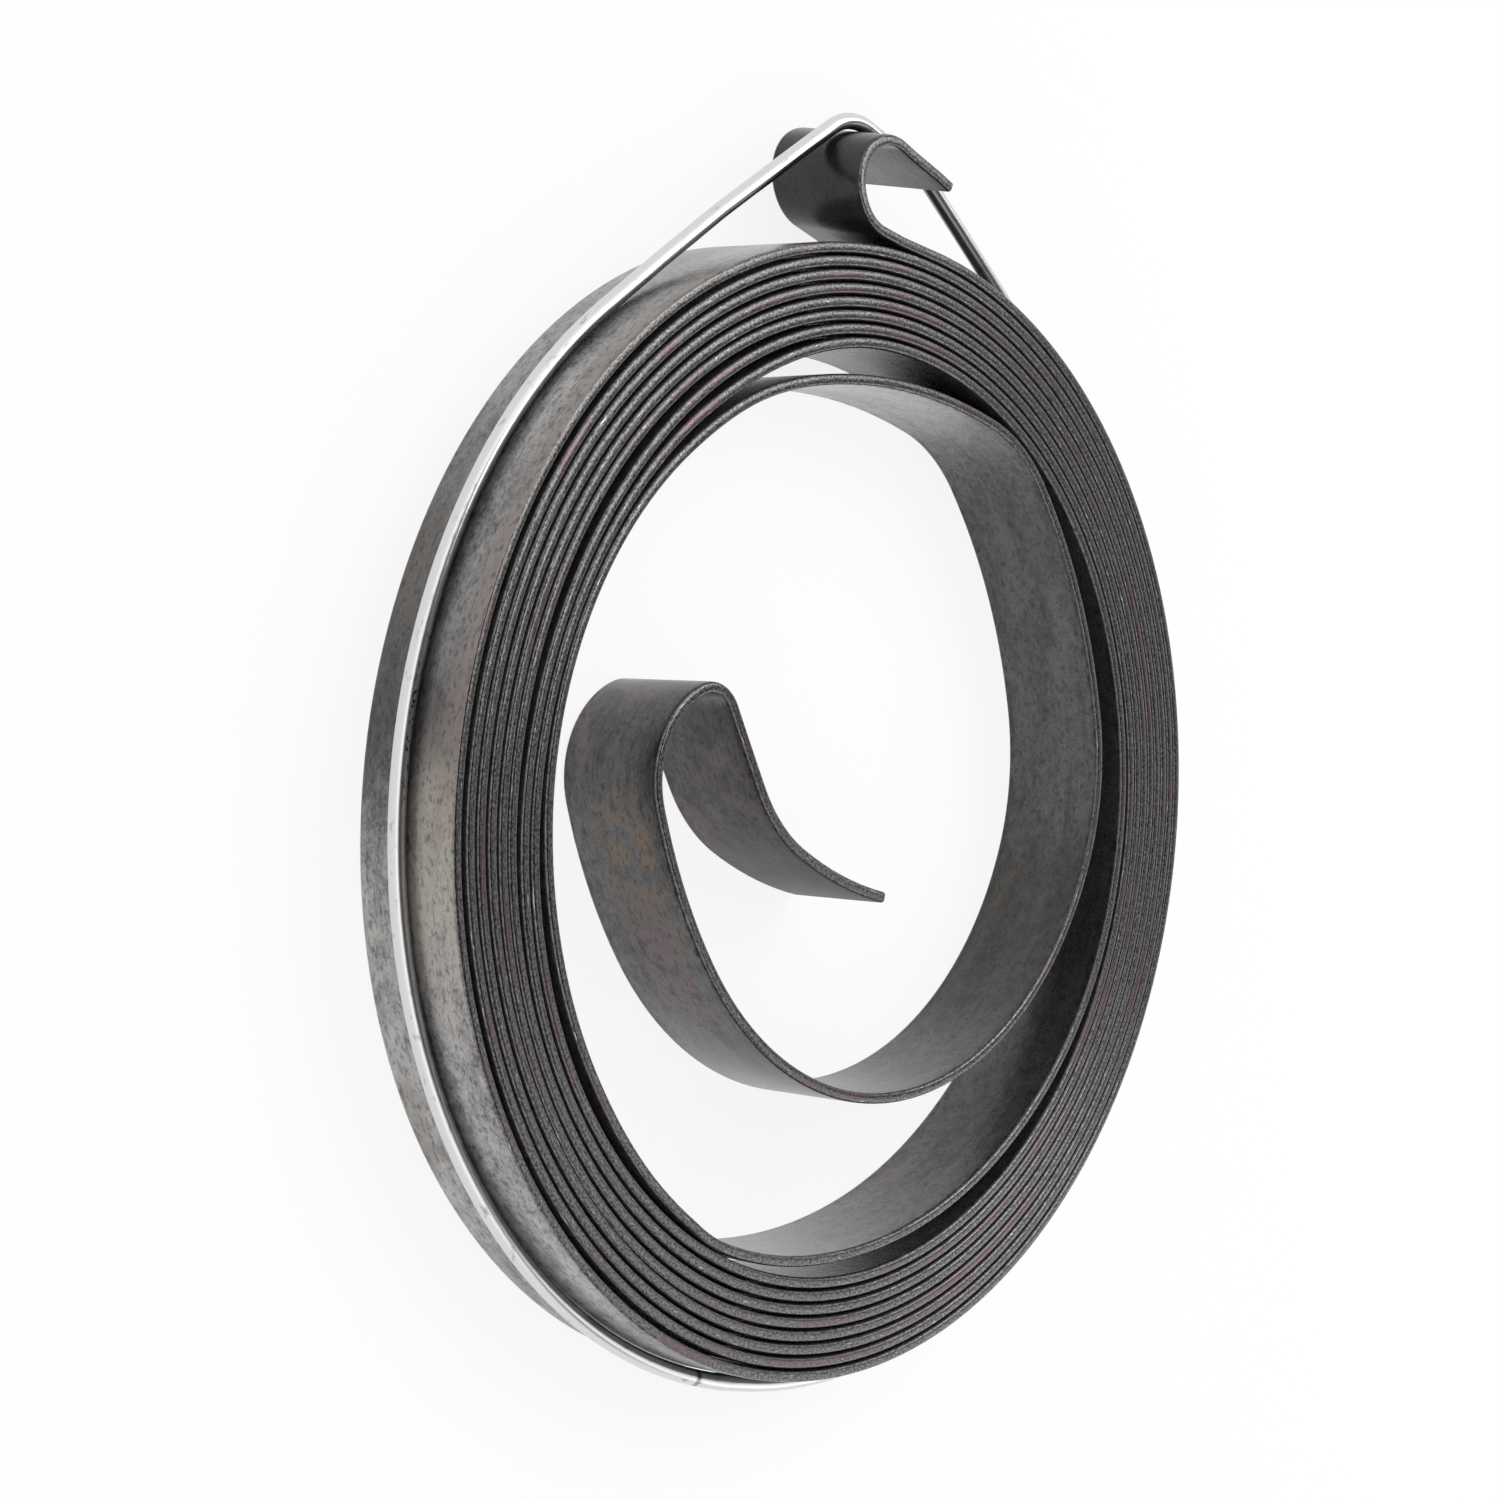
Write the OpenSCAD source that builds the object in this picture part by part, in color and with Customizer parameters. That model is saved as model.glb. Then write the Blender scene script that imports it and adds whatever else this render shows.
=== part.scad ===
// Recoil starter spring: a flat spiral of blued steel strip, kept wound by a ring of bright wire.
// The coil lies on the edges of its strip with its axis on Z. Seen from above, the strip runs
// clockwise from the hook outside the coil to the hook inside it, as a row of tangent bends.

/* [Strip] */
// Width of the strip, along the coil axis
strip_w = 8; // [6:0.5:12]
// Thickness of the strip
strip_t = 0.75; // [0.6:0.05:0.85]

/* [Coil] */
// Diameter of the outermost turn
coil_od = 76; // [70:1:84]
// Turns wound tight between the outer hook and the slack turn
turns = 8; // [6:1:9]
// Gap between neighbouring turns
turn_gap = 0.12; // [0.1:0.01:0.16]

/* [Outer hook] */
// Length of the tail between the coil and the bend
tail_l = 8.8; // [8:0.1:10]
// Radius of the bend, to the middle of the strip
outer_bend_r = 3.25; // [3:0.05:3.6]
// Angle of the bend
outer_bend_a = 189; // [186:1:194]
// Length of the tip past the bend
outer_tip_l = 5.5; // [4.5:0.1:6.5]

/* [Slack turn] */
// Radius where the slack turn still follows the coil, as a share of the inner radius
follow_share = 0.985; // [0.98:0.001:0.988]
// Angle over which it follows the coil
follow_a = 90; // [86:1:94]
// Radius where it parts from the coil, as a share of the inner radius
part_share = 0.9; // [0.895:0.005:0.905]
// Angle over which it parts from the coil
part_a = 34; // [32:1:36]
// Radius where it swings back to the coil, as a share of the inner radius
rejoin_share = 1.08; // [1.075:0.005:1.085]
// Angle over which it swings back
rejoin_a = 64; // [62:1:65]
// Radius of the kink where it meets the coil again, as a share of the inner radius
kink_share = 0.465; // [0.45:0.005:0.48]
// Angle of the kink
kink_a = 11; // [10:1:12]
// Radius along the far side of the coil, as a share of the inner radius
side_share = 1; // [0.98:0.005:1.005]
// Angle along the far side
side_a = 56; // [54:1:58]
// Radius over the crown, as a share of the inner radius
crown_share = 0.91; // [0.9:0.005:0.91]
// Angle over the crown
crown_a = 83; // [81:1:85]
// Radius of the flat stretch past the crown, as a share of the inner radius
flat_share = 1.44; // [1.4:0.01:1.45]
// Angle of the flat stretch
flat_a = 25; // [24:1:25]
// Radius of the corner that nears the coil, as a share of the inner radius
corner_share = 0.39; // [0.38:0.005:0.4]
// Angle of the corner
corner_a = 34; // [33:1:36]

/* [Inner arm] */
// Radius of the arm's first stretch, as a share of the inner radius
arm_share = 1.25; // [1.2:0.01:1.3]
// Angle of the arm's first stretch
arm_a = 27; // [25:1:29]
// Radius of the arm's bend, as a share of the inner radius
bend_share = 0.605; // [0.59:0.005:0.62]
// Angle of the arm's bend
bend_a = 31; // [29:1:33]
// Radius of the bowl that the arm makes, as a share of the inner radius
bowl_share = 0.76; // [0.74:0.01:0.78]
// Angle of the bowl
bowl_a = 126; // [122:1:130]
// Radius of the leg that leads to the inner hook, as a share of the inner radius
leg_share = 1.17; // [1.1:0.01:1.24]
// Angle of the leg
leg_a = 18; // [16:1:20]

/* [Inner hook] */
// Radius of the hook's shoulder, to the middle of the strip
shoulder_r = 5.9; // [5.4:0.1:6.4]
// Angle of the shoulder
shoulder_a = 89; // [85:1:93]
// Radius of the hook's nose, to the middle of the strip
nose_r = 2.4; // [2.2:0.1:2.8]
// Angle of the nose
nose_a = 80; // [76:1:84]
// Length of the near straight stretch past the nose
catch_l = 6; // [5:0.1:7]
// Radius of the flare, to the middle of the strip
flare_r = 11; // [10:0.5:12]
// Angle of the flare
flare_a = 32; // [28:1:36]
// Radius of the tip's slow curve
inner_tip_r = 30.5; // [26:0.5:35]
// Angle of the tip's slow curve
inner_tip_a = 17; // [14:1:20]

/* [Retaining wire] */
// Diameter of the wire
wire_d = 1.1; // [0.9:0.05:1.2]
// Height of the ring's middle above the lower edges of the strip
wire_z = 4.7; // [3:0.1:5]
// Slope of the ring across the coil
wire_tilt = 1.2; // [0:0.1:1.5]
// Clearance between the wire and the strip
wire_gap = 0.05; // [0.05:0.01:0.1]
// Radius of the wire's bend at the hook's tip, to the middle of the wire
wire_corner_r = 1.5; // [1.3:0.1:2]
// Bow of each free run of the wire, as an angle
wire_bow = 2; // [1:1:2]

/* [Hidden] */
$fa = 2;
$fs = 0.4;
strip_colour = [0.3, 0.3, 0.31];
wire_colour = [0.82, 0.83, 0.84];
// a near straight stretch is a bend of this angle
straight_a = 1;
// share of its angle by which a bend runs on at each end
hair = 1e-8;
// headings of the wire are kept to this step
heading_step = 0.5;
// fall of the radius with each half turn
half_step = (strip_t + turn_gap) / 2;
// radius of the outermost half turn, to the middle of the strip
coil_r = (coil_od - strip_t) / 2;
// the two chains of bends start on top of the coil, and the slack turn starts below that
top_y = coil_r + half_step / 2;
inner_r = top_y - 2 * turns * half_step;
outward_bends = [
    straight(tail_l),
    [outer_bend_r, outer_bend_a],
    straight(outer_tip_l)
];
coil_bends = [for (i = [0:2 * turns - 1]) [coil_r - i * half_step, 180]];
slack_bends = [
    [mm(follow_share * inner_r), follow_a],
    [mm(part_share * inner_r), part_a],
    [mm(rejoin_share * inner_r), rejoin_a],
    [mm(kink_share * inner_r), kink_a],
    [mm(side_share * inner_r), side_a],
    [mm(crown_share * inner_r), crown_a],
    [mm(flat_share * inner_r), flat_a],
    [mm(corner_share * inner_r), corner_a]
];
arm_bends = [
    [mm(arm_share * inner_r), arm_a],
    [mm(bend_share * inner_r), bend_a],
    [mm(bowl_share * inner_r), bowl_a],
    [mm(leg_share * inner_r), leg_a]
];
hook_bends = [
    [shoulder_r, shoulder_a],
    [nose_r, nose_a],
    -straight(catch_l),
    [-flare_r, -flare_a],
    [-inner_tip_r, -inner_tip_a]
];
outward_path = path(outward_bends, [0, top_y], 180);
inward_path = path(concat(coil_bends, slack_bends, arm_bends, hook_bends), [0, top_y], 0);
// the wire keeps this distance from the middle of the strip
wire_off = strip_t / 2 + wire_gap + wire_d / 2;
wire_right_r = coil_r + wire_off;
wire_left_r = wire_right_r - half_step;
wire_hook_r = outer_bend_r + wire_off;
// headings of the lines that touch the coil and the hook's bend, or the hook's tip and the coil
up_exact = belt_heading([0, -half_step / 2], wire_left_r, outward_path[1][0], wire_hook_r);
down_exact = belt_heading(end_of(outward_path[2]), wire_off, [0, half_step / 2], wire_right_r);
// the wire's free runs touch those things or just clear them
run_up = ceil(up_exact / heading_step) * heading_step;
run_down = floor(down_exact / heading_step) * heading_step;
tip_heading = outward_path[2][2];
wire_headings = [
    180,
    run_up + wire_bow / 2,
    run_up - wire_bow / 2,
    tip_heading,
    tip_heading - straight_a,
    run_down + wire_bow / 2,
    run_down - wire_bow / 2,
    -180
];
wire_radii = closed_radii();
wire_bends = [for (i = [0:len(wire_radii) - 1]) [wire_radii[i], wire_headings[i] - wire_headings[i + 1]]];
wire_path = path(wire_bends, [0, half_step / 2 - wire_right_r], 180);

// a radius to the nearest thousandth
function mm(x) = round(x * 1000) / 1000;
// radius and angle of a near straight stretch of a given length
function straight(l) = [mm(l / straight_a * 180 / PI), straight_a];
// the direction to the left of a heading
function left_of(h) = [-sin(h), cos(h)];
// heading of the line that touches two round things, both on its right
function belt_heading(a, ra, b, rb) =
    let (d = b - a) atan2(d.y, d.x) + asin((rb - ra) / norm(d));
// a chain of tangent bends, each as its centre, radius, first heading and angle;
// a bend to the left has a negative radius and angle
function path(bends, at, heading, i = 0) = i == len(bends) ? [] :
    let (r = bends[i][0], a = bends[i][1], c = at - r * left_of(heading))
    concat([[c, r, heading, a]], path(bends, c + r * left_of(heading - a), heading - a, i + 1));
function end_of(b) = b[0] + b[1] * left_of(b[2] - b[3]);
// the way that a bend of radius 1 leads between two of the wire's headings
function lead(i) = left_of(wire_headings[i + 1]) - left_of(wire_headings[i]);
// the radii of the wire's bends, with those of its two free runs set so that the ring closes
function closed_radii() =
    let (
        tip = straight(outer_tip_l)[0],
        rest = wire_left_r * lead(0) + wire_hook_r * lead(2) + tip * lead(3)
            + wire_corner_r * lead(4) + wire_right_r * lead(6),
        area = cross(lead(1), lead(5)),
        up = -cross(rest, lead(5)) / area,
        down = -cross(lead(1), rest) / area
    )
    [wire_left_r, up, wire_hook_r, tip, wire_corner_r, down, wire_right_r];

// moves by whole millimetres, then by hundred-thousandths, then by the rest
module exact_move(v) {
    whole = [for (x = v) floor(x)];
    part = [for (x = v) floor((x - floor(x)) * 1e5) / 1e5];
    translate(whole)
        translate(part)
            translate(v - whole - part)
                children();
}

// sweeps a section, drawn about the middle of the strip or wire, through each bend of a chain;
// each bend runs on by a hair at both ends, into its neighbours
module sweep_path(p) {
    for (b = p) {
        sweep = abs(b[3]);
        first = b[3] < 0 ? b[2] - 90 : b[2] + 90 - sweep;
        exact_move(b[0])
            rotate_extrude(start = first % 360 + 360 - hair * sweep, angle = (1 + 2 * hair) * sweep)
                exact_move([abs(b[1]), 0])
                    children();
    }
}

module strip_section() {
    translate([-strip_t / 2, 0])
        square([strip_t, strip_w]);
}

module spring_strip() {
    color(strip_colour) {
        sweep_path(outward_path) strip_section();
        sweep_path(inward_path) strip_section();
    }
}

module retaining_wire() {
    color(wire_colour)
        translate([0, 0, wire_z])
            rotate([0, -wire_tilt, 0])
                sweep_path(wire_path) circle(d = wire_d);
}

spring_strip();
retaining_wire();
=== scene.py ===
import math

import bpy
import numpy as np
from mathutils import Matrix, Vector
from mathutils.kdtree import KDTree


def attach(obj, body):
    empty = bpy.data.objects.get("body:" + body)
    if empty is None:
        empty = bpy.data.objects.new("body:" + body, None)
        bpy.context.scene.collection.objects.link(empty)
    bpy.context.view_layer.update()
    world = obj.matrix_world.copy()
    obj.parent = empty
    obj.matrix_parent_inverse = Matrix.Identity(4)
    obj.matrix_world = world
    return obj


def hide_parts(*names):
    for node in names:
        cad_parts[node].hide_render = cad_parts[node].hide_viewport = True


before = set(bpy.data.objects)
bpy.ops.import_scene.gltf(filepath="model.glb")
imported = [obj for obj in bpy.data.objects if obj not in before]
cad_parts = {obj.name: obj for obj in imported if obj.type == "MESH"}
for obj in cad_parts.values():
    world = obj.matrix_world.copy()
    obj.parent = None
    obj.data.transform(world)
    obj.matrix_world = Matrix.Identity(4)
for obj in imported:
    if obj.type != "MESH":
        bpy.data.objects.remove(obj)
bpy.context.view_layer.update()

# Spring strip. One length of hardened steel strip with rolled edges, blued by heat, wound cold
# into a flat spiral and bent to a hook at each end. It lies on its edges, and only the wire round
# it keeps it wound.
MM = 0.001
STRIP_WIDTH = 8.0
STRIP_THICK = 0.75
# Each corner of the section is a quarter of an oval, so high and so wide.
EDGE_HIGH = 0.3
EDGE_WIDE = 0.2
EDGE_STEPS = 5
# Rings of points along the strip, in degrees of each bend.
WIDE_STEP = 2.0
TIGHT_STEP = 5.0
TIGHT_RADIUS = 8.0
MERGE_WITHIN = 0.001

# The bends, each as a radius to the middle of the strip and an angle. The strip runs clockwise
# from the outer tip inwards, and a bend to the left has a negative radius and angle. The slack turn
# and the inner arm have their radii as shares of the coil's inner radius.
COIL_RADIUS = 37.625
HALF_STEP = 0.435
HALF_TURNS = 16
INNER_RADIUS = COIL_RADIUS + HALF_STEP / 2 - HALF_STEP * HALF_TURNS
OUTER_TIP = np.array([-2.771, 43.367, 0.0])
OUTER_HEADING = 169.0
OUTER_TIP_LENGTH = 5.5
OUTER_BEND_RADIUS = 3.25
OUTER_BEND_ANGLE = 189.0
TAIL_LENGTH = 8.8
CATCH_LENGTH = 6.0


def straight(length):
    """A near straight length, as the radius and angle of a bend of one degree."""
    return length / math.radians(1.0), 1.0


def to_left(bend):
    """The same bend, but to the left."""
    radius, angle = bend
    return -radius, -angle


def inside_coil(shares):
    """Bends with their radii given as shares of the coil's inner radius."""
    return [(share * INNER_RADIUS, angle) for share, angle in shares]


hook_bends = [
    to_left(straight(OUTER_TIP_LENGTH)),
    to_left((OUTER_BEND_RADIUS, OUTER_BEND_ANGLE)),
    to_left(straight(TAIL_LENGTH)),
]
coil_bends = [(COIL_RADIUS - HALF_STEP * i, 180.0) for i in range(HALF_TURNS)]
slack_bends = inside_coil([
    (0.985, 90.0), (0.9, 34.0), (1.08, 64.0), (0.465, 11.0), (1.0, 56.0), (0.91, 83.0), (1.44, 25.0),
    (0.39, 34.0),
])
arm_bends = inside_coil([(1.25, 27.0), (0.605, 31.0), (0.76, 126.0), (1.17, 18.0)])
inner_hook_bends = [
    (5.9, 89.0), (2.4, 80.0), to_left(straight(CATCH_LENGTH)), to_left((11.0, 32.0)),
    to_left((30.5, 17.0)),
]


def left_of(heading):
    """The direction to the left of a heading, in the plane of the coil."""
    turn = math.radians(heading)
    return np.array([-math.sin(turn), math.cos(turn), 0.0])


def length_of(bends):
    """Length of a chain of bends."""
    return sum(radius * math.radians(angle) for radius, angle in bends)


def deselect():
    """Leaves edit mode and deselects every object."""
    if bpy.context.mode != "OBJECT":
        bpy.ops.object.mode_set(mode="OBJECT")
    bpy.ops.object.select_all(action="DESELECT")


def stand_section(piece, at, heading):
    """Stands a flat section upright at the start of its path, in edit mode with all selected."""
    piece.rotation_euler = (math.pi / 2, 0, math.radians(heading + 90.0))
    piece.location = at * MM
    bpy.ops.object.transform_apply(location=True, rotation=True, scale=True)
    bpy.ops.object.mode_set(mode="EDIT")
    bpy.ops.mesh.select_all(action="SELECT")


def spin_through(at, heading, bends):
    """Spins the selected section through a chain of bends, each from the end of the one before,
    and joins them. Gives the middle line as rows of length so far, heading, x and y, one row for
    each ring of points."""
    lengths = []
    line = []
    run = 0.0
    for radius, angle in bends:
        lengths.append(bpy.context.object)
        centre = at - radius * left_of(heading)
        step = TIGHT_STEP if abs(radius) < TIGHT_RADIUS else WIDE_STEP
        steps = max(4, math.ceil(abs(angle) / step))
        bpy.ops.mesh.spin(
            steps=steps, angle=math.radians(angle), center=centre * MM, axis=(0, 0, 1))
        bpy.ops.mesh.duplicate()
        bpy.ops.mesh.separate(type="SELECTED")
        end_ring = next(o for o in bpy.context.selected_objects if o != lengths[-1])
        deselect()
        bpy.context.view_layer.objects.active = end_ring
        bpy.ops.object.mode_set(mode="EDIT")
        bpy.ops.mesh.select_all(action="SELECT")
        for turned in np.linspace(0, angle, steps + 1):
            x, y, _ = centre + radius * left_of(heading - turned)
            line.append((run + radius * math.radians(turned), heading - turned, x, y))
        run += radius * math.radians(angle)
        at = centre + radius * left_of(heading - angle)
        heading -= angle
    deselect()
    bpy.data.objects.remove(end_ring)
    for length in lengths:
        length.select_set(True)
    bpy.context.view_layer.objects.active = lengths[0]
    bpy.ops.object.join()
    bpy.ops.object.mode_set(mode="EDIT")
    bpy.ops.mesh.select_all(action="SELECT")
    bpy.ops.mesh.remove_doubles(threshold=MERGE_WITHIN * MM)
    bpy.ops.object.mode_set(mode="OBJECT")
    return np.array(line)


def close_ends():
    """Caps the two open ends of a swept piece and turns all its faces outwards."""
    bpy.ops.object.mode_set(mode="EDIT")
    bpy.ops.mesh.select_all(action="DESELECT")
    bpy.ops.mesh.select_mode(type="EDGE")
    bpy.ops.mesh.select_non_manifold()
    bpy.ops.mesh.fill_holes(sides=0)
    bpy.ops.mesh.select_all(action="SELECT")
    bpy.ops.mesh.normals_make_consistent(inside=False)
    bpy.ops.object.mode_set(mode="OBJECT")


def points_of(piece):
    """All points of a piece, in millimetres."""
    flat = np.empty(len(piece.data.vertices) * 3)
    piece.data.vertices.foreach_get("co", flat)
    return flat.reshape(-1, 3) / MM


def move_points(piece, points):
    """Puts all points of a piece at new places, in millimetres."""
    piece.data.vertices.foreach_set("co", (points * MM).ravel())
    piece.data.update()


def lay_out(piece, line):
    """Finds each point's place on the piece laid out straight: along, across and up, in
    millimetres. The attribute "laid" keeps it for the material."""
    tree = KDTree(len(line))
    for i, (_, _, x, y) in enumerate(line):
        tree.insert((x, y, 0.0), i)
    tree.balance()
    points = points_of(piece)
    rings = [tree.find((x, y, 0.0))[1] for x, y, _ in points]
    run, heading, x, y = line[rings].T
    turn = np.radians(heading)
    across = (points[:, 1] - y) * np.cos(turn) - (points[:, 0] - x) * np.sin(turn)
    laid = np.stack([run, across, points[:, 2]], axis=1)
    piece.data.attributes.new("laid", "FLOAT_VECTOR", "POINT").data.foreach_set("vector", laid.ravel())
    return laid


def ramp(value, low, high):
    """Rises smoothly from 0 to 1 as a value goes from low to high."""
    share = np.clip((value - low) / (high - low), 0.0, 1.0)
    return share * share * (3.0 - 2.0 * share)


deselect()
bpy.ops.mesh.primitive_plane_add(size=1.0)
strip = bpy.context.object
strip.name = "strip"
strip.scale = (STRIP_THICK * MM, STRIP_WIDTH * MM * EDGE_WIDE / EDGE_HIGH, 1.0)
bpy.ops.object.transform_apply(location=False, rotation=False, scale=True)
bpy.ops.object.mode_set(mode="EDIT")
bpy.ops.mesh.bevel(offset=EDGE_WIDE * MM, segments=EDGE_STEPS, affect="VERTICES")
bpy.ops.mesh.delete(type="ONLY_FACE")
bpy.ops.object.mode_set(mode="OBJECT")
strip.scale = (1.0, EDGE_HIGH / EDGE_WIDE, 1.0)
bpy.ops.object.transform_apply(location=False, rotation=False, scale=True)
stand_section(strip, OUTER_TIP + np.array([0.0, 0.0, STRIP_WIDTH / 2]), OUTER_HEADING)
line = spin_through(
    OUTER_TIP, OUTER_HEADING,
    hook_bends + coil_bends + slack_bends + arm_bends + inner_hook_bends)
laid = lay_out(strip, line)
along, _, up = laid.T
points = points_of(strip)

# The wound turns hang unevenly. Each row holds a turn, counted from outside, the angles round the
# coil where it begins to hang inwards, hangs fully, starts to rise and is back, and how far it
# hangs. The last turn is the slack one, which in two stretches stands outwards instead. Angles run
# from +X towards +Y, and each turn starts at the top.
TOP_ANGLE = 450.0
HANGS = [
    (2, 108, 145, 235, 275, 0.20),
    (3, 104, 145, 235, 275, 0.18),
    (4, 100, 145, 235, 275, 0.21),
    (5, 100, 145, 180, 245, 0.23),
    (6, 100, 150, 165, 225, 0.20),
    (7, 100, 155, 160, 225, 0.62),
    (8, 102, 135, 145, 230, 0.70),
    (9, 120, 140, 225, 250, 0.26),
    (9, 245, 266, 268, 300, -0.35),
    (9, 280, 300, 305, 340, -0.12),
]
coil_start = length_of(hook_bends)
one_turn = length_of(coil_bends[:2])
outward = points / np.hypot(points[:, 0], points[:, 1])[:, None] * (1.0, 1.0, 0.0)
turned = 360.0 - np.interp(along, line[:, 0], line[:, 1])
turn = np.floor(turned / 360.0) + 1
angle = TOP_ANGLE - turned % 360.0
hang = np.zeros(len(points))
for number, begins, full, rises, back, inwards in HANGS:
    hang += inwards * (turn == number) * ramp(angle, begins, full) * ramp(angle, back, rises)
# The wire's pull flattens the first part of the hook's bend, and twists the hook, so that its lower
# edge stands further out than its upper edge.
TWIST = 0.1625
FLATTENED = 0.32
FLAT_INTO_BEND = 1.5
ROUND_BEFORE_TAIL = 3.0
to_bend = length_of(hook_bends[:1])
past_bend = length_of(hook_bends[:2])
twist = TWIST * (STRIP_WIDTH / 2 - up) * ramp(along, coil_start, past_bend)
flattened = FLATTENED * ramp(along, 0.0, to_bend)
flattened *= ramp(along, past_bend - ROUND_BEFORE_TAIL, to_bend + FLAT_INTO_BEND)
# Next to the hook, and once more below it, the outermost turn flares towards its lower edge. Each
# row holds the lengths short of the top where a flare begins, is full, starts to fall and ends, and
# how far it stands out.
FLARES = [(8.0, 24.0, 24.0, 58.0, 0.55), (62.0, 90.0, 105.0, 125.0, 0.3)]


def flare_at(short):
    """How far the outermost turn's lower edge stands out, at a length short of the top."""
    return sum(
        out * ramp(short, begins, full) * ramp(short, ends, falls)
        for begins, full, falls, ends, out in FLARES)


flare = flare_at(coil_start + one_turn - along) * (1.0 - up / STRIP_WIDTH)
points += (flare - hang)[:, None] * outward
points[:, 1] += twist - flattened
move_points(strip, points)
close_ends()
bpy.ops.object.shade_smooth_by_angle(angle=math.radians(50))


class Shade:
    """A shader socket that stands in sums, and adds the nodes that it is fed into."""

    def __init__(self, tree, socket=None):
        self.tree = tree
        self.socket = socket

    def node(self, kind, settings, inputs, output=0):
        """Adds a node, sets it up, fills or links its inputs, and gives one of its outputs."""
        made = self.tree.nodes.new(kind)
        for name, value in settings.items():
            setattr(made, name, value)
        for name, value in inputs.items():
            if isinstance(value, Shade):
                self.tree.links.new(value.socket, made.inputs[name])
            else:
                made.inputs[name].default_value = value
        return Shade(self.tree, made.outputs[output] if made.outputs else None)

    def sum(self, operation, first, second):
        return self.node("ShaderNodeMath", {"operation": operation}, {0: first, 1: second})

    def __add__(self, other):
        return self.sum("ADD", self, other)

    def __radd__(self, other):
        return self.sum("ADD", other, self)

    def __sub__(self, other):
        return self.sum("SUBTRACT", self, other)

    def __rsub__(self, other):
        return self.sum("SUBTRACT", other, self)

    def __mul__(self, other):
        return self.sum("MULTIPLY", self, other)

    def __rmul__(self, other):
        return self.sum("MULTIPLY", other, self)

    def __abs__(self):
        return self.sum("ABSOLUTE", self, 0.0)


def new_material(name):
    """An empty material, and the Shade that its nodes grow from."""
    material = bpy.data.materials.new(name)
    material.use_nodes = True
    material.node_tree.nodes.clear()
    return material, Shade(material.node_tree)


def grain(place, per_mm, detail=3.0):
    """Noise over the laid-out piece, with so many grains to the millimetre each way."""
    spread = place.node("ShaderNodeVectorMath", {"operation": "MULTIPLY"}, {0: place, 1: per_mm})
    return place.node("ShaderNodeTexNoise", {}, {"Vector": spread, "Scale": 1.0, "Detail": detail})


def fade(value, low, high):
    """Rises smoothly from 0 to 1 as a shader value goes from low to high."""
    return value.node(
        "ShaderNodeMapRange", {"interpolation_type": "SMOOTHSTEP"},
        {"Value": value, "From Min": low, "From Max": high})


def tint(under, over, share):
    """One colour laid over another."""
    return share.node("ShaderNodeMix", {"data_type": "RGBA"}, {0: share, 6: under, 7: over}, 2)


def within(value, begins, full, fades, ends):
    """1 from full to fades, and 0 before begins and past ends."""
    return fade(value, begins, full) * fade(value, ends, fades)


steel, shade = new_material("blued_strip")
place = shade.node("ShaderNodeAttribute", {"attribute_name": "laid"}, {}, "Vector")
along = place.node("ShaderNodeSeparateXYZ", {}, {"Vector": place}, "X")
across = place.node("ShaderNodeSeparateXYZ", {}, {"Vector": place}, "Y")
up = place.node("ShaderNodeSeparateXYZ", {}, {"Vector": place}, "Z")
to_edge = STRIP_WIDTH / 2 - abs(up - STRIP_WIDTH / 2)
on_edge = fade(to_edge, EDGE_HIGH * 0.7, 0.02)

DARK_STEEL = (0.060, 0.060, 0.061, 1)
PALE_STEEL = (0.120, 0.119, 0.117, 1)
streaks = grain(place, (0.06, 3.0, 2.2), 3.0)
clouds = grain(place, (0.10, 3.0, 0.30), 4.0)
mottle = grain(place, (0.9, 3.0, 1.1), 6.0)
speckle = grain(place, (4.5, 6.0, 6.0), 3.0)
patina = 0.15 * streaks + 0.30 * clouds + 0.30 * mottle + 0.25 * speckle
colour = tint(DARK_STEEL, PALE_STEEL, fade(patina, 0.38, 0.62))

# Pale patches lie on most of the outermost turn, on the slack turn's crown and foot, and on the inner
# hook's leg. On the outer turn's lower stretch they are partly wear and partly painted sheen. On its
# top and shoulder, and on the crown and foot, they are painted reflections. The outermost turn also
# has a straw tint there, partly real tint and partly painted sheen.
PALE_WEAR_AND_SHEEN = (0.450, 0.443, 0.438, 1)
STRAW_WEAR_AND_SHEEN = (0.390, 0.345, 0.300, 1)
# Places along or up the strip, each as where a mark begins, is full, starts to fade and ends. A
# pair only says where it begins and is full.
OUTERMOST_TURN = (30.0, 45.0, 257.0, 262.0)
LOWER_WEAR_AND_SHEEN = (132.0, 160.0, 188.0, 198.0)
SHOULDER_SHEEN = (198.0, 205.0, 218.0, 228.0)
TOP_SHEEN = (204.0, 228.0, 262.0, 266.0)
CROWN_SHEEN = (1918.0, 1926.0, 1934.0, 1956.0)
FOOT_SHEEN = (1815.0, 1845.0, 1856.0, 1864.0)
LEG_PALE = (2022.0, 2030.0, 2044.0, 2050.0)
STRAW_AND_SHEEN_ALONG = (178.0, 187.0, 193.0, 200.0)
outer_side = fade(across, 0.1, 0.3)
inner_side = fade(across, -0.1, -0.3)
outermost = outer_side * within(along, *OUTERMOST_TURN)
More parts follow.
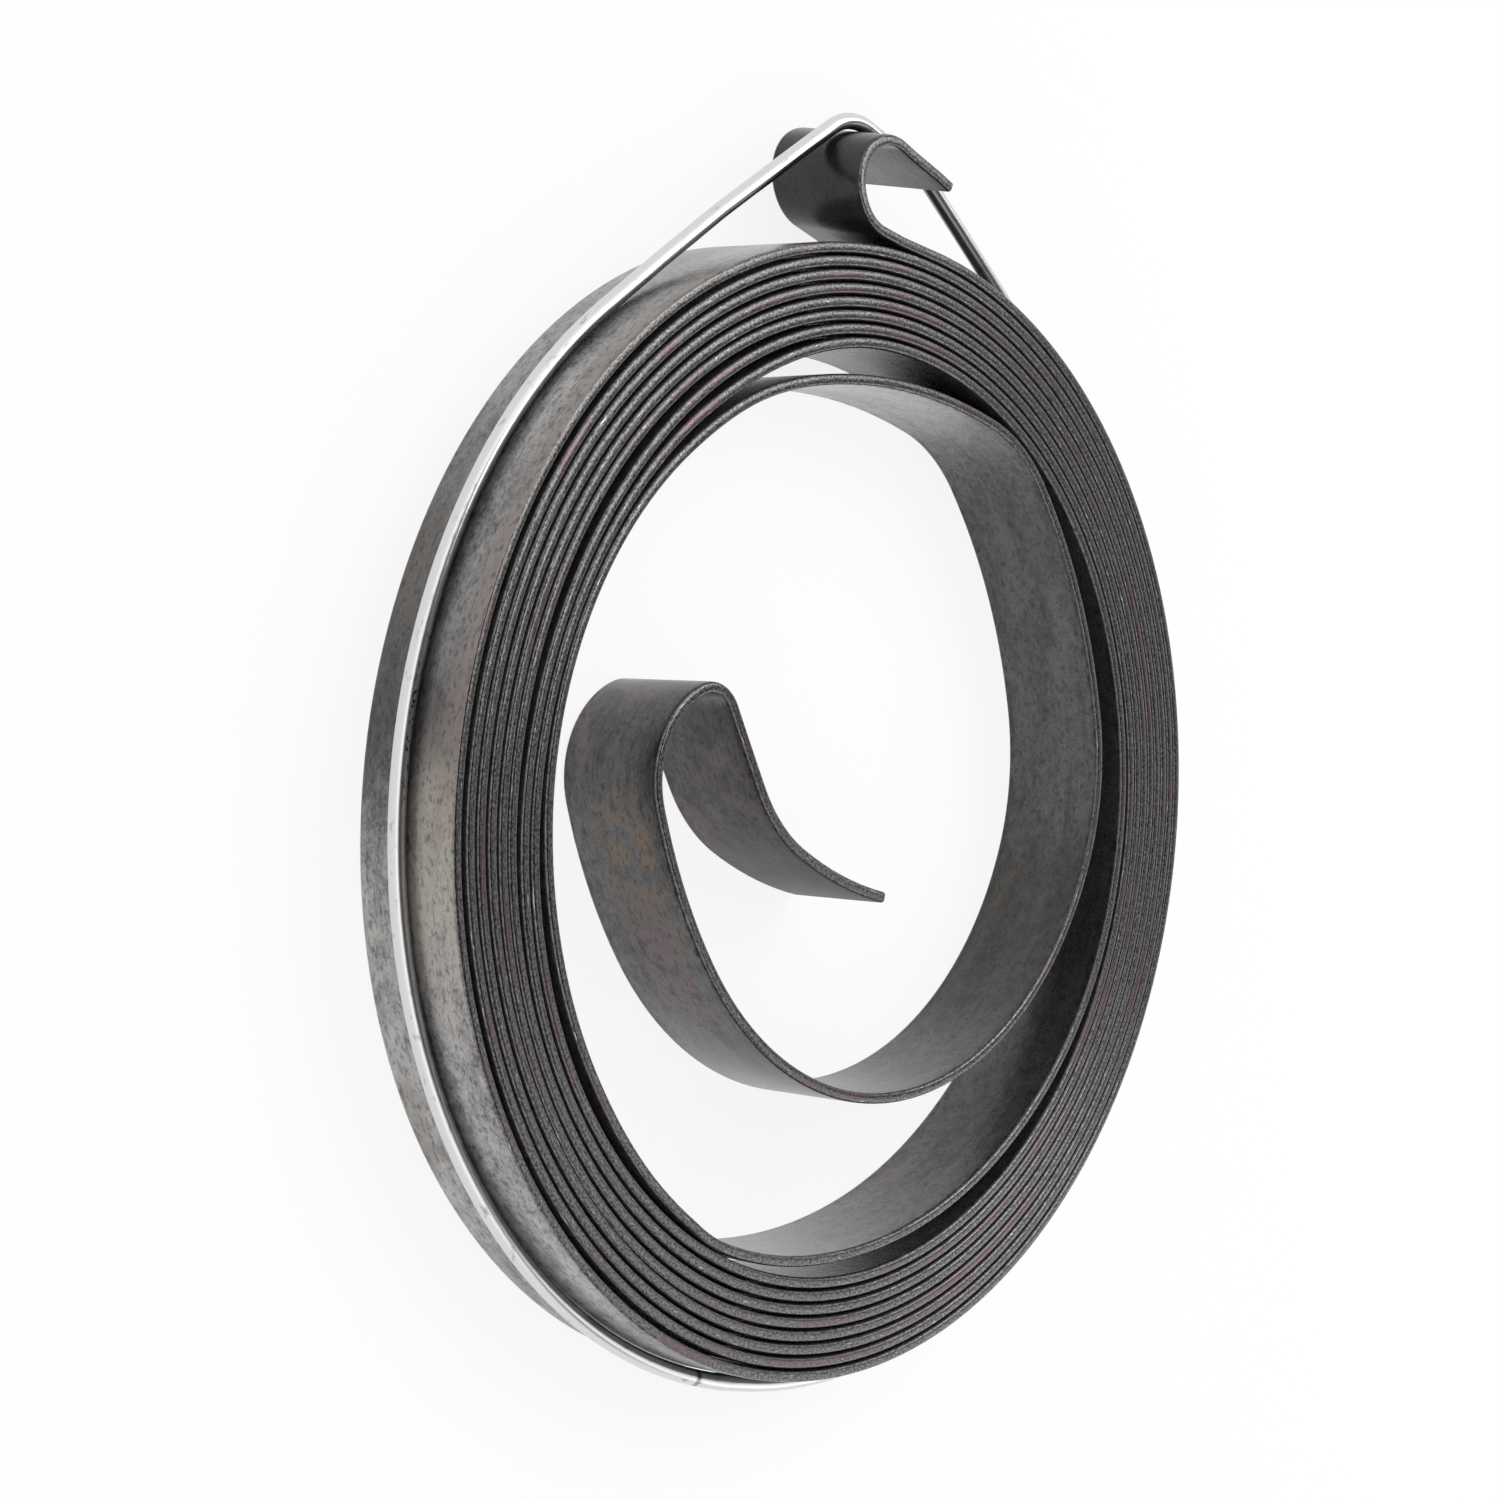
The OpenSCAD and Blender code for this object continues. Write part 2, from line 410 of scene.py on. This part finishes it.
# These pale marks are partly wear and partly painted sheen and painted reflection.
wear_and_sheen = within(along, *LOWER_WEAR_AND_SHEEN) + 0.75 * within(along, *TOP_SHEEN)
wear_and_sheen = wear_and_sheen + 0.45 * within(along, *SHOULDER_SHEEN) * fade(up, 3.0, 5.0)
wear_and_sheen = outermost * wear_and_sheen + 0.12 * outer_side * within(along, *LEG_PALE)
wear_and_sheen = wear_and_sheen + 0.9 * inner_side * within(along, *CROWN_SHEEN)
wear_and_sheen = wear_and_sheen + 0.2 * inner_side * within(along, *FOOT_SHEEN)
colour = tint(colour, PALE_WEAR_AND_SHEEN, wear_and_sheen * fade(patina, 0.30, 0.62))
# Pale straw on the outermost turn's lower stretch: partly real tint, partly painted sheen.
straw_and_sheen = within(along, *STRAW_AND_SHEEN_ALONG) * fade(patina, 0.32, 0.60) * fade(up, 0.0, 5.0)
colour = tint(colour, STRAW_WEAR_AND_SHEEN, 0.8 * outermost * straw_and_sheen)
# Straw and plum tints are left from the bluing, the clearest of them on the inner hook's leg and
# along the upper corner of the outermost turn.
STRAW = (0.165, 0.135, 0.110, 1)
PLUM = (0.155, 0.122, 0.128, 1)
ROSE = (0.235, 0.192, 0.175, 1)
LEG_STRAW_ALONG = (2034.0, 2040.0, 2044.0, 2048.0)
LEG_STRAW_UP = (1.0, 3.5, 6.6, 7.4)
LEG_PLUM_ALONG = (2028.0, 2032.0, 2037.0, 2041.0)
LEG_PLUM_UP = (1.5, 3.0, 5.5, 7.0)
HOOK_PLUM_FROM = (2045.0, 2050.0)
ROSE_ALONG = (190.0, 200.0, 230.0, 240.0)
ROSE_UP = (5.8, 7.7)
leg_straw = within(along, *LEG_STRAW_ALONG) * within(up, *LEG_STRAW_UP)
leg_straw = leg_straw * fade(grain(place, (0.7, 3.0, 0.9), 8.0), 0.42, 0.62)
leg_plum = within(along, *LEG_PLUM_ALONG) * within(up, *LEG_PLUM_UP)
colour = tint(colour, STRAW, leg_straw + 0.5 * fade(grain(place, (0.06, 3.0, 0.2)), 0.58, 0.72))
hook_plum = fade(along, *HOOK_PLUM_FROM)
hook_plum = hook_plum * fade(grain(place, (0.25, 3.0, 0.35), 5.0), 0.50, 0.62)
leg_plum = leg_plum * fade(mottle, 0.35, 0.55) + 0.7 * hook_plum
colour = tint(colour, PLUM, leg_plum + 0.5 * fade(grain(place, (0.12, 3.0, 0.3)), 0.61, 0.68))
rosy = outermost * within(along, *ROSE_ALONG) * fade(up, *ROSE_UP)
colour = tint(colour, ROSE, 0.75 * rosy * fade(patina, 0.30, 0.58))
# Dark scale is left on the inner arm's bend, at the inner tip's end and in specks all over. The outer
# hook's inner side, which faces the coil, is darkened with painted shade. But for the outermost turn,
# the patches beside the edges are partly scale and partly painted shade in the gaps between the turns.
DARK_SCALE_AND_SHADE = (0.020, 0.019, 0.019, 1)
HOOK_SHADE_TO = (23.0, 16.0)
TIP_SCALE_FROM = (2064.0, 2074.0)
ARM_SCALE = (1978.0, 1985.0, 1995.0, 2002.0)
# Patches beside the edges: partly scale, partly painted shade in the gaps between the turns.
scale_and_gap_shade = fade(to_edge, 0.9, 0.2) * fade(grain(place, (1.4, 3.0, 2.4), 6.0), 0.42, 0.62)
# Painted shade on the outer hook's inner side, and scale on the inner tip and the inner arm's bend.
scale_and_shade = 0.75 * inner_side * fade(along, *HOOK_SHADE_TO) + 0.7 * fade(along, *TIP_SCALE_FROM)
scale_and_shade = scale_and_shade + 0.4 * inner_side * within(along, *ARM_SCALE)
specks = 0.45 * fade(grain(place, (1.8, 5.0, 3.6), 5.0), 0.52, 0.66)
scale_and_gap_shade = 0.5 * scale_and_gap_shade * (1.0 - outermost) + specks
colour = tint(colour, DARK_SCALE_AND_SHADE, scale_and_shade + scale_and_gap_shade * (1.0 - scale_and_shade))
# The edges themselves have a fine grain, a few bright chips and some plum tint.
EDGE_DARK = (0.060, 0.059, 0.059, 1)
EDGE_PALE = (0.170, 0.168, 0.165, 1)
CHIP = (0.400, 0.395, 0.390, 1)
EDGE_PLUM = (0.145, 0.095, 0.105, 1)
edge = tint(EDGE_DARK, EDGE_PALE, fade(speckle, 0.34, 0.64))
edge = tint(edge, CHIP, fade(grain(place, (1.1, 8.0, 8.0), 2.0), 0.66, 0.74))
edge = tint(edge, EDGE_PLUM, 0.6 * fade(grain(place, (0.10, 0.8, 0.8), 4.0), 0.54, 0.64))
colour = tint(colour, edge, on_edge * (1.0 - 0.8 * rosy))
relief = shade.node(
    "ShaderNodeBump", {},
    {"Height": speckle + 2.0 * mottle, "Strength": 0.25, "Distance": 0.00003}, "Normal")
# Rubbing has left the outermost turn less glossy up to near its top, and the inner tip is duller.
DULL_TO = (222.0, 208.0)
DULL_TIP_FROM = (2060.0, 2072.0)
worn = outermost * (1.0 - on_edge) * fade(along, *DULL_TO)
rough = 0.17 + 0.08 * mottle + 0.10 * speckle - 0.05 * on_edge
rough = rough + 0.1 * worn + 0.18 * fade(along, *DULL_TIP_FROM)
surface = shade.node(
    "ShaderNodeBsdfPrincipled", {},
    {"Base Color": colour, "Metallic": 0.7 + 0.3 * on_edge, "Roughness": rough, "Normal": relief})
shade.node("ShaderNodeOutputMaterial", {}, {"Surface": surface})
strip.data.materials.append(steel)
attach(strip, "root")
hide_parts("spring_strip")

# Retaining wire. One ring of bright drawn steel wire, laid round the coil and over the outer hook
# to keep the spring wound, with its two ends butted below the coil.
WIRE_DIAMETER = 1.1
WIRE_SIDES = 24
WIRE_HEIGHT = 4.7
WIRE_TILT = 1.2
WIRE_GAP = 0.05
WIRE_OFF = STRIP_THICK / 2 + WIRE_GAP + WIRE_DIAMETER / 2
WIRE_START = np.array([0.0, HALF_STEP / 2 - COIL_RADIUS - WIRE_OFF, 0.0])
WIRE_HEADING = 180.0
# Its two free runs, up to the hook and down from its tip, bow so much that the ring closes.
RUN_UP_RADIUS = 751.434
RUN_DOWN_RADIUS = 635.078
RUN_BOW = 2.0
wire_bends = [
    (COIL_RADIUS - HALF_STEP + WIRE_OFF, 130.0),
    (RUN_UP_RADIUS, RUN_BOW),
    (OUTER_BEND_RADIUS + WIRE_OFF, 58.0),
    straight(OUTER_TIP_LENGTH),
    (1.5, 14.0),
    (RUN_DOWN_RADIUS, RUN_BOW),
    (COIL_RADIUS + WIRE_OFF, 153.0),
]
deselect()
bpy.ops.mesh.primitive_circle_add(vertices=WIRE_SIDES, radius=WIRE_DIAMETER / 2 * MM)
wire = bpy.context.object
wire.name = "wire"
stand_section(wire, WIRE_START, WIRE_HEADING)
line = spin_through(WIRE_START, WIRE_HEADING, wire_bends)
laid = lay_out(wire, line)
along, _, _ = laid.T
points = points_of(wire)
# Where the outermost turn flares, the wire lies further out with it, and a little more, up to the
# angle where it parts from the coil.
PART_ANGLE = math.radians(140.0)
LIFT_MORE = 0.08
on_coil = length_of(wire_bends[:1])
to_hook = length_of(wire_bends[:2])
round_by = np.arctan2(points[:, 1], points[:, 0]) % (2 * math.pi)
round_by = np.where(along > on_coil, PART_ANGLE, round_by)
short_of_top = (round_by - math.pi / 2) * (COIL_RADIUS - HALF_STEP)
lift = flare_at(short_of_top) * (1.0 - WIRE_HEIGHT / STRIP_WIDTH + LIFT_MORE)
lift *= ramp(along, to_hook, on_coil) * (along < to_hook)
points[:, 0] += lift * np.cos(round_by)
points[:, 1] += lift * np.sin(round_by)
# On the flattened hook it lies lower, and its run up to the hook bends down to that.
LOWERED = 0.5
LOWERED_BEFORE = 14.0
LOWERED_PAST = 1.0
over_hook = length_of(wire_bends[:3])
past_tip = length_of(wire_bends[:4])
lowered = LOWERED * ramp(along, to_hook - LOWERED_BEFORE, to_hook + LOWERED_PAST)
points[:, 1] -= lowered * ramp(along, past_tip, over_hook)
move_points(wire, points)
close_ends()
wire.rotation_euler = (0, math.radians(-WIRE_TILT), 0)
wire.location = (0, 0, WIRE_HEIGHT * MM)
bpy.ops.object.transform_apply(location=True, rotation=True, scale=True)
bpy.ops.object.shade_smooth_by_angle(angle=math.radians(50))

bright, shade = new_material("bright_wire")
place = shade.node("ShaderNodeAttribute", {"attribute_name": "laid"}, {}, "Vector")
BRIGHT_STEEL = (0.68, 0.68, 0.69, 1)
DULL_STEEL = (0.38, 0.38, 0.39, 1)
along = place.node("ShaderNodeSeparateXYZ", {}, {"Vector": place}, "X")
marks = grain(place, (0.8, 2.0, 2.0), 4.0)
colour = tint(BRIGHT_STEEL, DULL_STEEL, fade(marks, 0.6, 0.75))
# Painted shade darkens the side where it meets the coil, and it is nicked near one end and pitted
# beside the coil.
NICK_PITS_AND_SHADE = (0.06, 0.06, 0.06, 1)
PITTED = (51.0, 54.0, 60.0, 63.0)
NICK = (2.7, 2.9, 3.1, 3.3)
across = place.node("ShaderNodeSeparateXYZ", {}, {"Vector": place}, "Y")
pits = within(along, *PITTED) * fade(grain(place, (2.4, 4.0, 4.0), 2.0), 0.56, 0.64)
# Painted shade on the side against the coil, and pits beside it.
shade_and_pits = 0.7 * fade(across, 0.12, -0.15) + pits * fade(across, 0.3, 0.1)
colour = tint(colour, NICK_PITS_AND_SHADE, shade_and_pits + 0.6 * within(along, *NICK))
surface = shade.node(
    "ShaderNodeBsdfPrincipled", {},
    {"Base Color": colour, "Metallic": 1.0, "Roughness": 0.16 + 0.10 * marks})
shade.node("ShaderNodeOutputMaterial", {}, {"Surface": surface})
wire.data.materials.append(bright)
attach(wire, "root")
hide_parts("retaining_wire")

# Floor. A plain white sheet under the spring. It shows as white to the camera and in reflections,
# with a part of its own shading left so that it keeps the spring's shadow.
FLOOR_SIZE = 3.0
FLOOR_GLOW = 0.86
deselect()
bpy.ops.mesh.primitive_plane_add(size=FLOOR_SIZE)
floor = bpy.context.object
floor.name = "floor"
white, shade = new_material("white_sheet")
seen = shade.node("ShaderNodeLightPath", {}, {}, "Is Camera Ray")
mirrored = shade.node("ShaderNodeLightPath", {}, {}, "Is Glossy Ray")
matt = shade.node("ShaderNodeBsdfDiffuse", {}, {"Color": (0.9, 0.9, 0.9, 1)})
glow = shade.node("ShaderNodeEmission", {}, {"Color": (1, 1, 1, 1), "Strength": 1.0})
sheet = shade.node("ShaderNodeMixShader", {}, {0: FLOOR_GLOW * (seen + mirrored), 1: matt, 2: glow})
shade.node("ShaderNodeOutputMaterial", {}, {"Surface": sheet})
floor.data.materials.append(white)

# Light. A white room that is dim across from the camera, above its walls, and overhead, with one
# large soft lamp beyond the hook and a weaker one on the other side.
FAR_SIDE = (0.22, 0.22, 0.22, 1)
OVERHEAD = (0.08, 0.08, 0.08, 1)
NEAR_SIDE = (1.35, 1.35, 1.35, 1)
WALLS = (1.0, 1.0, 1.0, 1)
# Where each starts to show and shows fully, as a share of the way across or up.
NEAR_FROM = (0.45, 0.15)
OVERHEAD_FROM = (0.80, 0.93)
WALLS_BELOW = (0.75, 0.3)
world = bpy.data.worlds.new("studio")
bpy.context.scene.world = world
world.use_nodes = True
world.node_tree.nodes.clear()
shade = Shade(world.node_tree)
look = shade.node("ShaderNodeTexCoord", {}, {}, "Generated")
towards_far = shade.node("ShaderNodeSeparateXYZ", {}, {"Vector": look}, "X")
height = shade.node("ShaderNodeSeparateXYZ", {}, {"Vector": look}, "Z")
room = tint(FAR_SIDE, NEAR_SIDE, fade(towards_far, *NEAR_FROM))
room = tint(room, OVERHEAD, fade(height, *OVERHEAD_FROM))
room = tint(room, WALLS, fade(height, *WALLS_BELOW))
backdrop = shade.node("ShaderNodeBackground", {}, {"Color": room, "Strength": 1.0})
shade.node("ShaderNodeOutputWorld", {}, {"Surface": backdrop})


def soft_lamp(name, at, size, power):
    """A large square soft lamp that faces the spring."""
    lamp_data = bpy.data.lights.new(name, "AREA")
    lamp_data.size = size
    lamp_data.energy = power
    lamp = bpy.data.objects.new(name, lamp_data)
    bpy.context.scene.collection.objects.link(lamp)
    lamp.location = at
    lamp.rotation_euler = Vector(at).to_track_quat("Z", "Y").to_euler()


soft_lamp("top_lamp", at=(0.235, 0.30, 0.486), size=0.4, power=1.5)
soft_lamp("low_lamp", at=(0.47, -0.18, 0.38), size=0.42, power=0.55)

# Camera. It looks down on the spring from the side.
CAMERA_AT = (-0.154752, -0.027544, 0.133163)
CAMERA_TURN = (-3.5346, -49.1097, 16.0699)
CAMERA_ANGLE = 27.8612
camera_data = bpy.data.cameras.new("camera")
camera = bpy.data.objects.new("camera", camera_data)
bpy.context.scene.collection.objects.link(camera)
camera.location = CAMERA_AT
camera.rotation_euler = [math.radians(turn) for turn in CAMERA_TURN]
camera_data.sensor_fit = "HORIZONTAL"
camera_data.angle = math.radians(CAMERA_ANGLE)
camera_data.clip_start = 0.01
bpy.context.scene.camera = camera
bpy.context.scene.view_settings.view_transform = "Standard"
